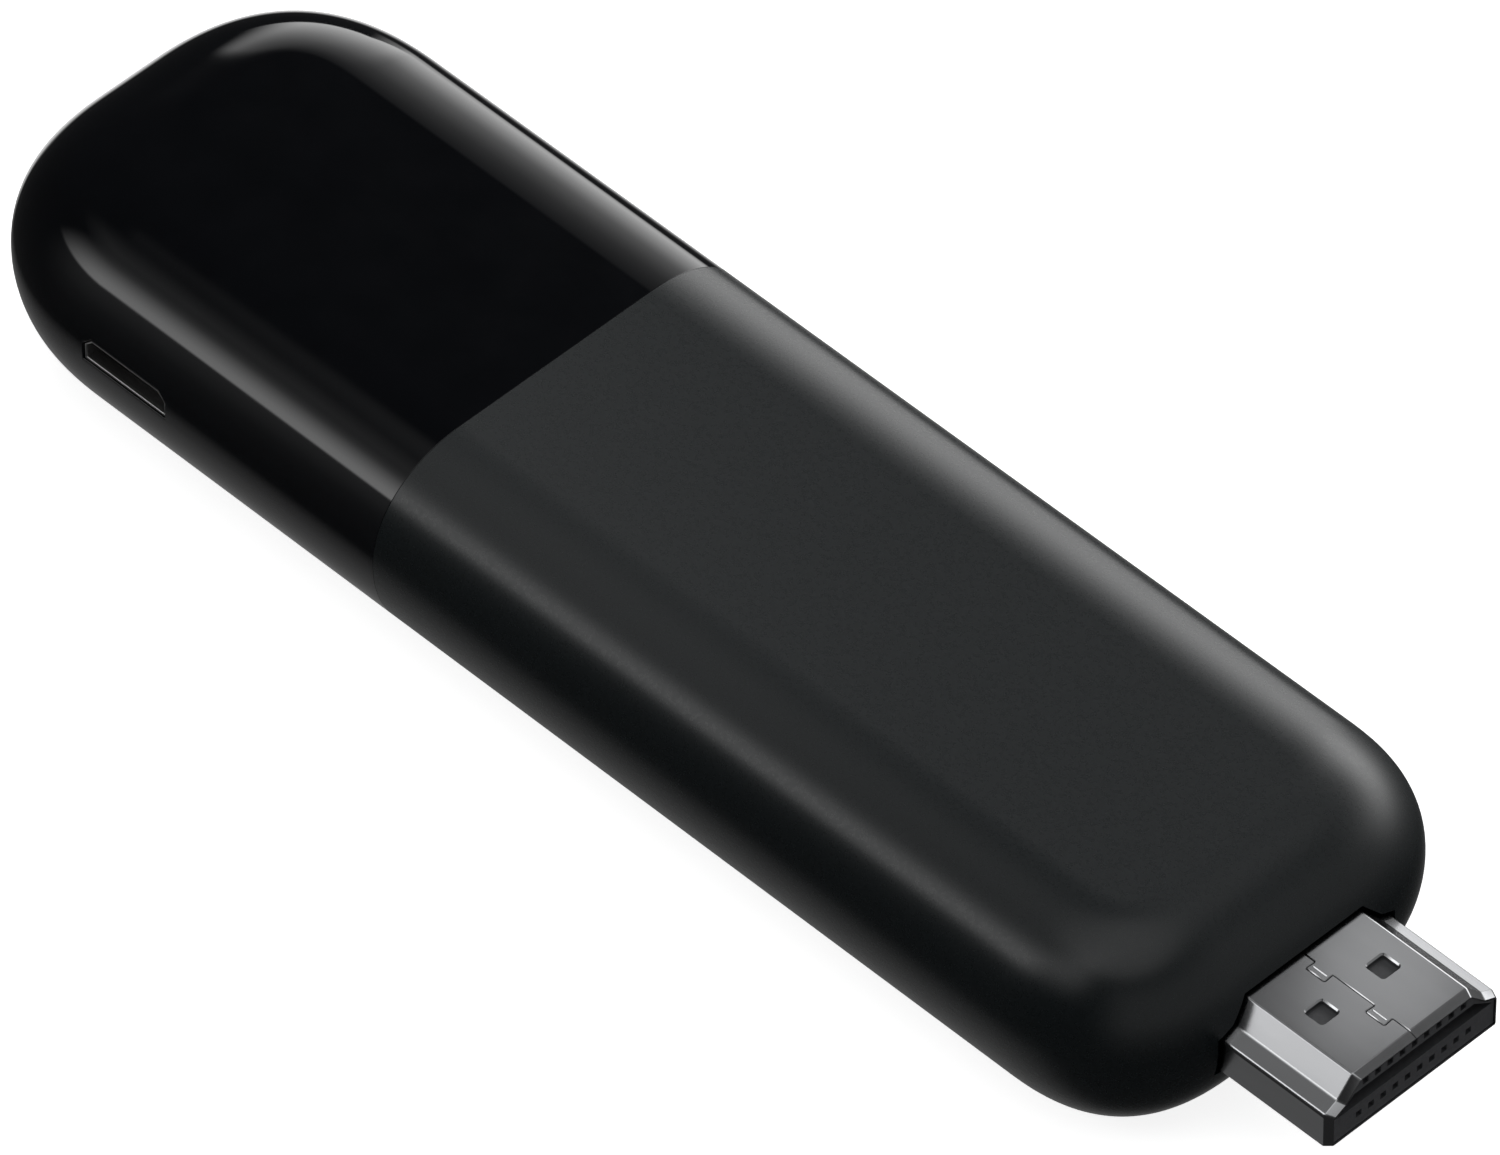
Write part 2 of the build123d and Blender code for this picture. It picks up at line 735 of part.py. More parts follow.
def build_all():
    made = {
        "front_sleeve": front_sleeve(),
        "rear_cap": rear_cap(),
        "board_carrier": board_carrier(),
        "carrier_screws": carrier_screws(),
        "main_board": main_board(),
        "capacitors": passives(capacitor_size, capacitor_across, 0),
        "resistors": passives(resistor_size, resistor_across, resistor_shift),
        "upper_shield_frame": shield_frame(board_top, 1),
        "upper_shield_lid": shield_lid(board_top, 1),
        "lower_shield_frame": shield_frame(board_low, -1),
        "lower_shield_lid": shield_lid(board_low, -1),
        "left_antenna": antenna(1),
        "right_antenna": antenna(-1),
        "plug_shell": plug_shell(),
        "plug_insulator": plug_insulator(),
        "plug_rear_shield": plug_rear_shield(),
    }
    (low_level, low_places), (high_level, high_places) = pin_rows()
    made["lower_plug_contacts"] = plug_contacts(low_level, low_places, board_low, 1)
    made["upper_plug_contacts"] = plug_contacts(high_level, high_places, board_top, -1)
    made.update(chips())
    made.update(heat_path())
    made.update(port_pieces())
    return made


os.makedirs("parts", exist_ok=True)
for name, shape in build_all().items():
    export_step(shape, f"parts/{name}.step")
    print(name, round(shape.volume, 2))
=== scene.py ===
import bmesh
import bpy
import json
import math
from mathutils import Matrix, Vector


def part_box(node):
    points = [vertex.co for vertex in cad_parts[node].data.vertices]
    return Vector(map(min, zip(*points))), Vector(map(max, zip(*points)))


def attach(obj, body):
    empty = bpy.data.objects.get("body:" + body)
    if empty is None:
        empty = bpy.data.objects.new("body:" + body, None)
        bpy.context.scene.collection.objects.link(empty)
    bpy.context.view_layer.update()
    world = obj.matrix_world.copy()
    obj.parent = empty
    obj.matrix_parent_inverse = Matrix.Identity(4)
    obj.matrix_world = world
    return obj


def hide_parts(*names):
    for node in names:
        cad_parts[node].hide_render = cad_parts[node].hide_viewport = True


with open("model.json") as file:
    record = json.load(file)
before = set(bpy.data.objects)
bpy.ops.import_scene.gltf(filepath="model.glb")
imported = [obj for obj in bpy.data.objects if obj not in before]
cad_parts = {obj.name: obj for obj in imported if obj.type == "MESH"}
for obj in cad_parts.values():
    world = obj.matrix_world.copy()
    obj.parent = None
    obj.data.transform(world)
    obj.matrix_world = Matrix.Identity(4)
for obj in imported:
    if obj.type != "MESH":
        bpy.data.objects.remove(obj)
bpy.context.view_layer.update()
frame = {"nodes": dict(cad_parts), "record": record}
mm = 0.001
touching = 0.002 * mm  # two places nearer than this are the same
xAxis, yAxis, zAxis = range(3)


# small helpers, for the steps that a hand would do with the mouse

def clearSelection():
    if bpy.context.object and bpy.context.object.mode != "OBJECT":
        bpy.ops.object.mode_set(mode="OBJECT")
    bpy.ops.object.select_all(action="DESELECT")


def takeUp(piece):
    clearSelection()
    piece.select_set(True)
    bpy.context.view_layer.objects.active = piece


def addBox(name, low, high):
    clearSelection()
    low, high = Vector(low), Vector(high)
    bpy.ops.mesh.primitive_cube_add(size=1, location=(low + high) / 2, scale=high - low)
    piece = bpy.context.active_object
    piece.name = name
    bpy.ops.object.transform_apply(location=True, rotation=True, scale=True)
    return piece


def openUp(piece):
    takeUp(piece)
    bpy.ops.object.mode_set(mode="EDIT")


def closeUp():
    bpy.ops.object.mode_set(mode="OBJECT")


def selectAll():
    bpy.ops.mesh.select_all(action="SELECT")


def selectIn(piece, kind, test):
    # in edit mode, selects the vertices, edges or faces that pass the test
    bpy.ops.mesh.select_mode(type=kind)
    bpy.ops.mesh.select_all(action="DESELECT")
    cage = bmesh.from_edit_mesh(piece.data)
    parts = {"VERT": cage.verts, "EDGE": cage.edges, "FACE": cage.faces}[kind]
    for part in parts:
        if test(part):
            part.select_set(True)
    bmesh.update_edit_mesh(piece.data)


def middle(part):
    places = [v.co for v in part.verts]
    return sum(places, Vector()) / len(places)


def runsAlong(edge, axis):
    step = edge.verts[1].co - edge.verts[0].co
    return abs(step[axis]) > 0.999 * step.length


def liesAt(part, axis, level):
    # true for an edge or a face whose every corner is at that level of the axis
    return all(abs(v.co[axis] - level) < touching for v in part.verts)


def isAlongside(face, axis):
    # true for a face that is parallel to the axis, or nearly so
    return abs(face.normal[axis]) < 0.2


def roundOff(reach, segments, fullness=0.5):
    # bevels the selected edges; a fullness of 0.5 is round
    bpy.ops.mesh.bevel(offset=reach, segments=segments, profile=fullness, clamp_overlap=False)


def splitAtLevel(level):
    selectAll()
    bpy.ops.mesh.bisect(plane_co=(0, 0, level), plane_no=(0, 0, 1), threshold=touching)


def turnFacesOutward():
    selectAll()
    bpy.ops.mesh.normals_make_consistent(inside=False)


def finishWith(piece, kind, **settings):
    takeUp(piece)
    extra = piece.modifiers.new(kind.title(), kind)
    for name, value in settings.items():
        setattr(extra, name, value)
    bpy.ops.object.modifier_apply(modifier=extra.name)


def copyOf(piece, name):
    takeUp(piece)
    bpy.ops.object.duplicate()
    twin = bpy.context.active_object
    twin.name = name
    return twin


def cutOut(piece, cutter):
    finishWith(piece, "BOOLEAN", operation="DIFFERENCE", solver="EXACT", object=cutter)
    takeUp(cutter)
    bpy.ops.object.delete()


def smoothPiece(piece, angle):
    # soft shading, flats kept flat, and edges of more than the angle kept crisp
    takeUp(piece)
    bpy.ops.object.shade_smooth_by_angle(angle=math.radians(angle))
    finishWith(piece, "WEIGHTED_NORMAL", keep_sharp=True)


# materials

noiseSpan = 0.3, 0.7  # nearly all of a noise lies between these


def newMaterial(name, colour, roughness, metallic):
    made = bpy.data.materials.new(name)
    made.use_nodes = True
    shader = made.node_tree.nodes["Principled BSDF"]
    shader.inputs["Base Color"].default_value = (*colour, 1)
    shader.inputs["Roughness"].default_value = roughness
    shader.inputs["Metallic"].default_value = metallic
    return made


def addNode(tree, kind, inputs=None, **settings):
    made = tree.nodes.new("ShaderNode" + kind)
    for name, value in settings.items():
        setattr(made, name, value)
    for name, value in (inputs or {}).items():
        made.inputs[name].default_value = value
    return made


def calculate(tree, operation, *values):
    made = addNode(tree, "Math", operation=operation)
    for slot, value in zip(made.inputs, values):
        if isinstance(value, (int, float)):
            slot.default_value = value
        else:
            tree.links.new(value, slot)
    return made.outputs["Value"]


def noiseIn(tree, size, stretch):
    # noise on the object's own place, its grain as long along each axis as size times stretch
    place = addNode(tree, "TexCoord")
    scale = [1 / (size * s) for s in stretch]
    mapping = addNode(tree, "Mapping", {"Scale": scale})
    noise = addNode(tree, "TexNoise", {"Scale": 1, "Detail": 3, "Roughness": 0.55})
    tree.links.new(place.outputs["Object"], mapping.inputs["Vector"])
    tree.links.new(mapping.outputs["Vector"], noise.inputs["Vector"])
    return noise.outputs["Fac"]


def varyColour(material, dark, light, size, stretch):
    tree = material.node_tree
    ramp = addNode(tree, "ValToRGB")
    for element, position, colour in zip(ramp.color_ramp.elements, noiseSpan, (dark, light)):
        element.position = position
        element.color = (*colour, 1)
    tree.links.new(noiseIn(tree, size, stretch), ramp.inputs["Fac"])
    tree.links.new(ramp.outputs["Color"], tree.nodes["Principled BSDF"].inputs["Base Color"])


def varyRoughness(material, low, high, size, stretch):
    tree = material.node_tree
    limits = {"From Min": noiseSpan[0], "From Max": noiseSpan[1], "To Min": low, "To Max": high}
    ranged = addNode(tree, "MapRange", limits)
    tree.links.new(noiseIn(tree, size, stretch), ranged.inputs["Value"])
    tree.links.new(ranged.outputs["Result"], tree.nodes["Principled BSDF"].inputs["Roughness"])


def addRelief(material, size, depth, stretch):
    tree = material.node_tree
    bump = addNode(tree, "Bump", {"Strength": 1.0, "Distance": depth})
    tree.links.new(noiseIn(tree, size, stretch), bump.inputs["Height"])
    tree.links.new(bump.outputs["Normal"], tree.nodes["Principled BSDF"].inputs["Normal"])


even = (1, 1, 1)
alongX = (30, 1, 1)  # marks drawn out along the stick

# moulded charcoal plastic with a fine spark-eroded texture
sleeveFinish = {
    "colour": (0.0058, 0.0085, 0.0096),
    "dark": (0.0053, 0.0079, 0.0089),
    "light": (0.0063, 0.0091, 0.0103),
    "mottle": 0.5 * mm,
    "roughness": 0.26,
    "roughnessSpan": (0.26, 0.3),
    "haze": 0.3 * mm,  # size of the patches in the roughness
    "grain": 0.16 * mm,
    "depth": 0.0012 * mm,
}
# piano black, with the faint ripple and haze of a moulded gloss face
capFinish = {
    "colour": (0.0022, 0.0026, 0.0036),
    "dark": (0.0019, 0.0023, 0.0032),
    "light": (0.0025, 0.0029, 0.004),
    "mottle": 3 * mm,
    "roughness": 0.06,
    "roughnessSpan": (0.05, 0.075),
    "haze": 6 * mm,
    "grain": 4 * mm,
    "depth": 0.0004 * mm,
}
# nickel-plated sheet, drawn along the plug
plugFinish = {
    "colour": (0.4, 0.405, 0.415),
    "dark": (0.39, 0.395, 0.405),
    "light": (0.41, 0.415, 0.425),
    "mottle": 1.2 * mm,
    "roughness": 0.17,
    "roughnessSpan": (0.165, 0.18),
    "haze": 1.2 * mm,
    "grain": 0.4 * mm,
    "depth": 0.00002 * mm,
    "drawn": (8, 1, 1),  # the marks are longer along the plug
    "hazeDrawn": (6, 1, 1),
    "metallic": 1.0,
}


def makeFinish(name, look):
    made = newMaterial(name, look["colour"], look["roughness"], look.get("metallic", 0.0))
    drawn = look.get("drawn", even)
    varyColour(made, look["dark"], look["light"], look["mottle"], drawn)
    varyRoughness(made, *look["roughnessSpan"], look["haze"], look.get("hazeDrawn", even))
    addRelief(made, look["grain"], look["depth"], drawn)
    return made


def makePlain(name, colour, roughness, metallic, grain, depth, drawn=even, shade=0.12):
    # shade is how much darker and lighter the colour gets, as a share
    return makeFinish(name, {
        "colour": colour,
        "dark": [c * (1 - shade) for c in colour],
        "light": [min(1, c * (1 + shade)) for c in colour],
        "mottle": grain * 3,
        "roughness": roughness,
        "roughnessSpan": (roughness * 0.85, min(1, roughness * 1.15)),
        "haze": grain * 2,
        "grain": grain,
        "depth": depth,
        "drawn": drawn,
        "hazeDrawn": drawn,
        "metallic": metallic,
    })


finishes = {
    "matte_case": makeFinish("matteCase", sleeveFinish),
    "gloss_case": makeFinish("glossCase", capFinish),
    "plug_steel": makeFinish("plugSteel", plugFinish),
    "inner_plastic": makePlain("innerPlastic", (0.03, 0.03, 0.03), 0.5, 0, 0.15 * mm, 0.002 * mm),
    "insulator_black": makePlain("insulatorBlack", (0.055, 0.056, 0.06), 0.4, 0, 0.1 * mm, 0.0015 * mm),
    "contact_gold": makePlain("contactGold", (0.83, 0.62, 0.25), 0.28, 1, 0.05 * mm, 0.0005 * mm, alongX),
    "port_steel": makePlain("portSteel", (0.5, 0.5, 0.5), 0.34, 1, 0.06 * mm, 0.0008 * mm, alongX),
    "shield_steel": makePlain("shieldSteel", (0.62, 0.62, 0.60), 0.32, 1, 0.08 * mm, 0.0008 * mm, alongX),
    "board_green": makePlain("boardGreen", (0.02, 0.10, 0.05), 0.35, 0, 0.4 * mm, 0.003 * mm, shade=0.25),
    "chip_black": makePlain("chipBlack", (0.03, 0.03, 0.03), 0.6, 0, 0.08 * mm, 0.002 * mm),
    "ceramic_tan": makePlain("ceramicTan", (0.45, 0.33, 0.22), 0.4, 0, 0.1 * mm, 0.001 * mm),
    "ferrite_grey": makePlain("ferriteGrey", (0.16, 0.16, 0.17), 0.55, 0, 0.12 * mm, 0.002 * mm),
    "spreader_aluminium": makePlain("spreaderAluminium", (0.72, 0.72, 0.73), 0.36, 1, 0.1 * mm, 0.001 * mm,
                                    alongX),
    "pad_silicone": makePlain("padSilicone", (0.45, 0.52, 0.60), 0.75, 0, 0.3 * mm, 0.004 * mm),
    "screw_steel": makePlain("screwSteel", (0.35, 0.35, 0.36), 0.35, 1, 0.06 * mm, 0.0008 * mm),
    "antenna_metal": makePlain("antennaMetal", (0.75, 0.62, 0.40), 0.3, 1, 0.06 * mm, 0.0006 * mm, alongX),
}


def giveFinish(piece, slot):
    piece.data.materials.clear()
    piece.data.materials.append(finishes[slot])


for part in frame["record"]["subparts"]:
    node = frame["nodes"][part["node"]]
    for materialSlot in node.material_slots:
        materialSlot.material = finishes[part["material_slot"]]
print("materials ready:", len(finishes))


# the case: one pebble form, parted at the seam into a matte sleeve and a glossy cap

sleeveLow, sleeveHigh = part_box("front_sleeve")
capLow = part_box("rear_cap")[0]
case = {
    "widest": 7.5 * mm,  # level of the case's widest line
    "topRound": 7.5 * mm,  # how far the upper rounding reaches in
    "topFullness": 0.531,  # 0.5 is a circle; a little more runs into the flat without a border
    "underRound": 5.25 * mm,
    "underFullness": 0.483,
    "rearCorner": 13.0 * mm,
    "frontCorner": 10.5 * mm,
    "cornerFullness": 0.552,
    "wall": 1.2 * mm,
    "cornerSteps": 36,
    "roundSteps": 32,
    "seamEdge": 0.03 * mm,
}
xRear, xSeam, xFront = capLow.x, sleeveLow.x, sleeveHigh.x
halfWidth = sleeveHigh.y
caseTop = sleeveHigh.z


def makeCaseForm(name):
    form = addBox(name, (xRear, -halfWidth, 0), (xFront, halfWidth, caseTop))
    openUp(form)
    for xEnd, radius in ((xRear, case["rearCorner"]), (xFront, case["frontCorner"])):
        selectIn(form, "EDGE", lambda edge: runsAlong(edge, zAxis) and liesAt(edge, xAxis, xEnd))
        roundOff(radius, case["cornerSteps"], case["cornerFullness"])
    # a rounding isn't as high as it reaches in, so it is made on a form squeezed or stretched to match
    for level, reach, fullness in ((caseTop, case["topRound"], case["topFullness"]),
                                   (0, case["underRound"], case["underFullness"])):
        squeeze = reach / abs(level - case["widest"])
        pivot = (0, 0, case["widest"])
        selectAll()
        bpy.ops.transform.resize(value=(1, 1, squeeze), center_override=pivot)
        rim = case["widest"] + (level - case["widest"]) * squeeze
        selectIn(form, "EDGE", lambda edge: liesAt(edge, zAxis, rim))
        roundOff(reach - touching, case["roundSteps"], fullness)
        selectAll()
        bpy.ops.transform.resize(value=(1, 1, 1 / squeeze), center_override=pivot)
    selectAll()
    bpy.ops.mesh.remove_doubles(threshold=3 * touching)
    closeUp()
    return form


def outward(face):
    # true for a face of the outer skin, whose normal leads away from the case's axis
    place = middle(face)
    return face.normal.y * place.y + face.normal.z * (place.z - case["widest"]) > 0


def partAtSeam(form, name, keepFront):
    shell = copyOf(form, name)
    openUp(shell)
    selectAll()
    bpy.ops.mesh.bisect(plane_co=(xSeam, 0, 0), plane_no=(1, 0, 0), clear_inner=keepFront,
                        clear_outer=not keepFront)
    closeUp()
    finishWith(shell, "SOLIDIFY", thickness=case["wall"], offset=-1, use_even_offset=True)
    openUp(shell)
    selectIn(shell, "EDGE", lambda edge: liesAt(edge, xAxis, xSeam)
             and any(isAlongside(face, xAxis) and outward(face) for face in edge.link_faces))
    roundOff(case["seamEdge"], 2)
    closeUp()
    return shell


form = makeCaseForm("form")
sleeve = partAtSeam(form, "frontSleeve", True)
cap = partAtSeam(form, "rearCap", False)
takeUp(form)
bpy.ops.object.delete()
print("case parted:", len(sleeve.data.polygons), "and", len(cap.data.polygons), "faces")


# the video plug: a folded steel shell with a bevelled nose

plugLow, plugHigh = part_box("plug_shell")
plug = {
    "base": plugLow.z,
    "width": 13.9 * mm,
    "height": 4.45 * mm,
    "side": 2.6 * mm,  # height of the upright sides
    "ledgeWidth": 11.8 * mm,
    "ledgeHeight": 3.13 * mm,
    "crownWidth": 9.38 * mm,
    "back": xFront - 6.6 * mm,
    "tip": plugHigh.x,
    "sheet": 0.33 * mm,
    "nose": 0.55 * mm,
    "noseInset": 0.25 * mm,
    "noseEdge": 0.05 * mm,
    "edgeRound": 0.1 * mm,
    "sideRound": 0.2 * mm,  # the edges over the upright sides are the softest
    "gap": 0.3 * mm,  # round the plug, in the sleeve's front wall
}


def plugTube(name, back, front):
    # the plug's section as a closed prism
    low = (back, -plug["width"] / 2, plug["base"])
    high = (front, plug["width"] / 2, plug["base"] + plug["height"])
    tube = addBox(name, low, high)
    openUp(tube)
    for rise in (plug["side"], plug["ledgeHeight"]):
        splitAtLevel(plug["base"] + rise)
    for rise, width in ((plug["ledgeHeight"], plug["ledgeWidth"]), (plug["height"], plug["crownWidth"])):
        level = plug["base"] + rise
        selectIn(tube, "VERT", lambda vertex: abs(vertex.co.z - level) < touching)
        bpy.ops.transform.resize(value=(1, width / plug["width"], 1), center_override=(0, 0, level))
    return tube


def grownTube(name, back, front, growth):
    # the same prism, larger all round, or smaller where the growth is negative
    tube = plugTube(name, back, front)
    selectIn(tube, "FACE", lambda face: not isAlongside(face, xAxis))
    bpy.ops.mesh.delete(type="FACE")
    selectAll()
    bpy.ops.transform.shrink_fatten(value=growth, use_even_offset=True)
    for xEnd in (back, front):
        selectIn(tube, "EDGE", lambda edge: liesAt(edge, xAxis, xEnd))
        bpy.ops.mesh.edge_face_add()
    turnFacesOutward()
    closeUp()
    return tube


def makePlugShell():
    front = plug["tip"] - plug["nose"]
    shell = plugTube("plugShell", plug["back"], front)
    sideTop = plug["base"] + plug["side"]
    for atSideTop, reach, segments in ((False, plug["edgeRound"], 5), (True, plug["sideRound"], 6)):
        selectIn(shell, "EDGE", lambda edge: runsAlong(edge, xAxis)
                 and liesAt(edge, zAxis, sideTop) == atSideTop)
        roundOff(reach, segments)
    # the nose narrows by the same amount on each side
    selectIn(shell, "FACE", lambda face: liesAt(face, xAxis, front))
    bpy.ops.mesh.extrude_region_move(TRANSFORM_OT_translate={"value": (plug["nose"], 0, 0)})
    narrower = [1 - 2 * plug["noseInset"] / plug[size] for size in ("width", "height")]
    centre = (plug["tip"], 0, plug["base"] + plug["height"] / 2)
    bpy.ops.transform.resize(value=(1, *narrower), center_override=centre)
    selectIn(shell, "EDGE", lambda edge: liesAt(edge, xAxis, front))
    roundOff(plug["noseEdge"], 2)
    closeUp()
    cutOut(shell, grownTube("cavityCutter", plug["back"] - mm, plug["tip"] + mm, -plug["sheet"]))
    return shell


cutOut(sleeve, grownTube("openingCutter", xFront - case["frontCorner"], xFront + case["wall"], plug["gap"]))
plugShell = makePlugShell()

catch = {"side": 1.4 * mm, "spacing": 5.02 * mm, "setback": 5.05 * mm, "corner": 0.18 * mm, "rim": 0.1 * mm}
joint = {
    "gap": 0.05 * mm,
    "reach": 0.74 * mm,  # of each tab into the other half
    "length": 1.4 * mm,
    "flare": 0.06 * mm,
    "corner": 0.12 * mm,
    "rim": 0.045 * mm,
    "setbacks": (1.87 * mm, 6.6 * mm),  # from the tip to the front of each tab
    "grooveAcross": 0.36 * mm,  # from the joint to the middle of the pressed groove in each tab
    "grooveLength": 1.0 * mm,
    "grooveDepth": 0.07 * mm,
    "grooveFlare": 0.063 * mm,  # nearly all its depth
}
plugTop = plug["base"] + plug["height"]
overTop = 0.02 * mm  # cutters flare out a little over the plug's upper face


def flareOut(cutter, rim):
    # widens an upright cutter where it leaves the plug, so that what it cuts gets a chamfered rim
    openUp(cutter)
    for level in (plugTop - rim, plugTop + overTop):
        splitAtLevel(level)
    selectIn(cutter, "VERT", lambda vertex: abs(vertex.co.z - plugTop - overTop) < touching)
    bpy.ops.transform.shrink_fatten(value=rim + overTop, use_even_offset=True)
    closeUp()


def cutCatchHoles():
    xHole = plug["tip"] - catch["setback"]
    half = catch["side"] / 2
    for y in (-catch["spacing"] / 2, catch["spacing"] / 2):
        low = (xHole - half, y - half, plug["base"] - mm)
        high = (xHole + half, y + half, plugTop + mm)
        cutter = addBox("holeCutter", low, high)
        openUp(cutter)
        selectIn(cutter, "EDGE", lambda edge: runsAlong(edge, zAxis))
        roundOff(catch["corner"], 4)
        flareOut(cutter, catch["rim"])
        cutOut(plugShell, cutter)


def cutFoldedJoint():
    # one thin ribbon, drawn point by point along the joint, then thickened to the joint's gap
    route = [(plug["tip"] + mm, 0)]
    for setback in joint["setbacks"]:
        ahead = plug["tip"] - setback
        behind = ahead - joint["length"]
        route += [(ahead, 0), (ahead + joint["flare"], -joint["reach"]),
                  (behind - joint["flare"], -joint["reach"]), (behind, 0)]
    route.append((plug["back"] - mm, 0))
    clearSelection()
    bpy.ops.mesh.primitive_plane_add(size=mm, location=(*route[0], plugTop - mm))
    ribbon = bpy.context.active_object
    ribbon.name = "jointCutter"
    bpy.ops.object.transform_apply(location=True, rotation=True, scale=True)
    openUp(ribbon)
    bpy.ops.mesh.select_mode(type="VERT")
    selectAll()
    bpy.ops.mesh.merge(type="CENTER")
    for here, there in zip(route, route[1:]):
        step = (there[0] - here[0], there[1] - here[1], 0)
        bpy.ops.mesh.extrude_region_move(TRANSFORM_OT_translate={"value": step})
    selectIn(ribbon, "VERT", lambda vertex: len(vertex.link_edges) == 2)
    bpy.ops.mesh.bevel(affect="VERTICES", offset=joint["corner"], segments=3, clamp_overlap=False)
    selectAll()
    bpy.ops.mesh.extrude_region_move(TRANSFORM_OT_translate={"value": (0, 0, 2 * mm)})
    turnFacesOutward()
    closeUp()
    finishWith(ribbon, "SOLIDIFY", thickness=joint["gap"], offset=0, use_even_offset=True)
    openUp(ribbon)
    turnFacesOutward()
    flareOut(ribbon, joint["rim"])
    cutOut(plugShell, ribbon)


def pressGrooves():
    # one short groove along each tab
    halfLength = joint["grooveLength"] / 2
    for setback in joint["setbacks"]:
        xGroove = plug["tip"] - setback - joint["length"] / 2
        low = (xGroove - halfLength, -joint["grooveAcross"] - touching, plugTop - joint["grooveDepth"])
        high = (xGroove + halfLength, -joint["grooveAcross"] + touching, plugTop + mm)
        groove = addBox("grooveCutter", low, high)
        flareOut(groove, joint["grooveFlare"])
        cutOut(plugShell, groove)


cutCatchHoles()
cutFoldedJoint()
pressGrooves()
print("plug shell cut:", len(plugShell.data.polygons), "faces")


# the power port's opening in the cap

port = {
    "fromRear": 16.6 * mm,
    "width": 7.0 * mm,
    "height": 1.9 * mm,
    "level": 7.93 * mm,
    "corner": 0.6 * mm,  # both upper corners are cut off
    "depth": 1.7 * mm,
    "edge": 0.08 * mm,
    "mouthDepth": 0.5 * mm,  # the opening's outer edge is no further in than this
    "lipGap": 0.06 * mm,
    "lipSheet": 0.13 * mm,
    "lipRound": 0.0975 * mm,
    "lipSetback": 0.14 * mm,  # from the case's widest line
}
portX = xRear + port["fromRear"]
portBack = -halfWidth + port["depth"]


def portPrism(name, front, back, growth):
    # the port's section as a closed prism, larger or smaller all round by the growth
    halfLong, halfHigh = port["width"] / 2 + growth, port["height"] / 2 + growth
    low = (portX - halfLong, front, port["level"] - halfHigh)
    high = (portX + halfLong, back, port["level"] + halfHigh)
    prism = addBox(name, low, high)
    openUp(prism)
    selectIn(prism, "EDGE", lambda edge: runsAlong(edge, yAxis) and middle(edge).z > port["level"])
    roundOff(port["corner"], 1)
    closeUp()
    return prism


def cutPortOpening():
    cutOut(cap, portPrism("portCutter", -halfWidth - mm, portBack, 0))

    # the opening's outer edge is rounded, so that its lower lip catches the light
    def isWall(face):
        place = middle(face)
        return (isAlongside(face, yAxis) and place.y < 0 and abs(place.x - portX) < port["width"]
                and abs(place.z - port["level"]) < port["height"])

    def isMouth(edge):
        walls = [face for face in edge.link_faces if isWall(face)]
        outside = middle(edge).y < -halfWidth + port["mouthDepth"]
        return len(walls) == 1 and len(edge.link_faces) == 2 and outside

    openUp(cap)
    selectIn(cap, "EDGE", isMouth)
    roundOff(port["edge"], 3)
    closeUp()


def facesPort(face):
    # true for a face whose normal leads towards the middle of the port
    toMiddle = Vector((portX, 0, port["level"])) - middle(face)
    return face.normal.x * toMiddle.x + face.normal.z * toMiddle.z > 0


def makePortLip():
    # a thin steel rim just inside the opening, down to the port behind the wall
    front = -halfWidth + port["lipSetback"]
    lip = portPrism("portLip", front, portBack, -port["lipGap"])
    openUp(lip)
    selectIn(lip, "FACE", lambda face: liesAt(face, yAxis, portBack))
    bpy.ops.mesh.delete(type="FACE")
    selectIn(lip, "FACE", lambda face: liesAt(face, yAxis, front))
    bpy.ops.mesh.inset(thickness=port["lipSheet"], use_even_offset=True)
    bpy.ops.mesh.extrude_region_move(TRANSFORM_OT_translate={"value": (0, portBack - front, 0)})
    bpy.ops.mesh.delete(type="FACE")
    selectIn(lip, "EDGE", lambda edge: liesAt(edge, yAxis, portBack))
    bpy.ops.mesh.bridge_edge_loops()
    turnFacesOutward()
    # the inner edge of its front is the rounded one
    selectIn(lip, "EDGE", lambda edge: liesAt(edge, yAxis, front)
             and any(isAlongside(face, yAxis) and facesPort(face) for face in edge.link_faces))
    roundOff(port["lipRound"], 3)
    closeUp()
    return lip


cutPortOpening()
portLip = makePortLip()
print("port opened:", len(portLip.data.polygons), "faces in its lip")

softEdge, plugSoftEdge = 35, 20  # degrees; less for the plug, whose nose slants by 24
# the lip stands in front of the port and takes no node's place
for piece, slot, node, angle in ((sleeve, "matte_case", "front_sleeve", softEdge),
                                 (cap, "gloss_case", "rear_cap", softEdge),
                                 (plugShell, "plug_steel", "plug_shell", plugSoftEdge),
                                 (portLip, "port_steel", None, softEdge)):
    smoothPiece(piece, angle)
    giveFinish(piece, slot)
    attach(piece, "root")
    if node:
        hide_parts(node)
print("pieces finished")


# floor, studio light and camera

floorLook = {"radius": 0.6, "colour": (0.9, 0.9, 0.9), "roughness": 0.9, "glow": 0.84}


